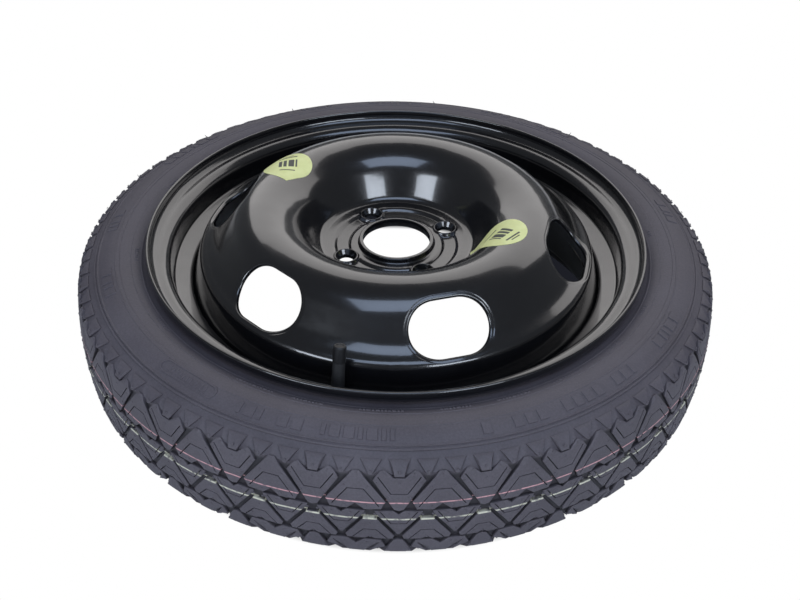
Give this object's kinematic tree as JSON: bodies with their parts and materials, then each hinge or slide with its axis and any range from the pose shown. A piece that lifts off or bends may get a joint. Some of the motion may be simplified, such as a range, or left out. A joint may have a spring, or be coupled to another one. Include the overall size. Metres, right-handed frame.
{
  "type": "space saver spare wheel",
  "caption": "Narrow temporary spare wheel: slim tyre on a black pressed steel wheel with a raised crown, a deep hub bowl, oval vents and a rubber valve.",
  "frame": {"origin": "centre of the bolt circle and bore, on the hub mounting face", "axes": "+Z along the wheel's axis towards the outboard side, which faces up; the valve is on -Y"},
  "size_m": [0.567, 0.567, 0.155],
  "materials": {
    "tyre_rubber": "matt",
    "black_paint": "gloss",
    "valve_rubber": "matt",
    "brass": "satin",
    "pin_steel": "satin",
    "cap_plastic": "matt",
    "label_yellow": "satin"
  },
  "bodies": {
    "wheel": {"tyre": "tyre_rubber", "rim": "black_paint", "disc": "black_paint", "weld_beads": "black_paint", "valve_body": "valve_rubber", "valve_stem": "brass", "valve_core": "brass", "core_spring": "pin_steel", "label_front": "label_yellow", "label_side": "label_yellow"},
    "cap": {"valve_cap": "cap_plastic", "cap_seal": "valve_rubber"},
    "pin": {"core_pin": "pin_steel", "core_washer": "valve_rubber"}
  },
  "joints": [
    {"name": "cap_off", "type": "slide", "parent": "wheel", "child": "cap", "axis": [0, 0.2419, 0.9703], "range_m": [0, 0.014]},
    {"name": "core_press", "type": "slide", "parent": "wheel", "child": "pin", "axis": [0, -0.2419, -0.9703], "range_m": [0, 0.0012], "stiffness_N_per_m": 600, "springref_m": -0.002, "deforming": ["core_spring"]}
  ]
}
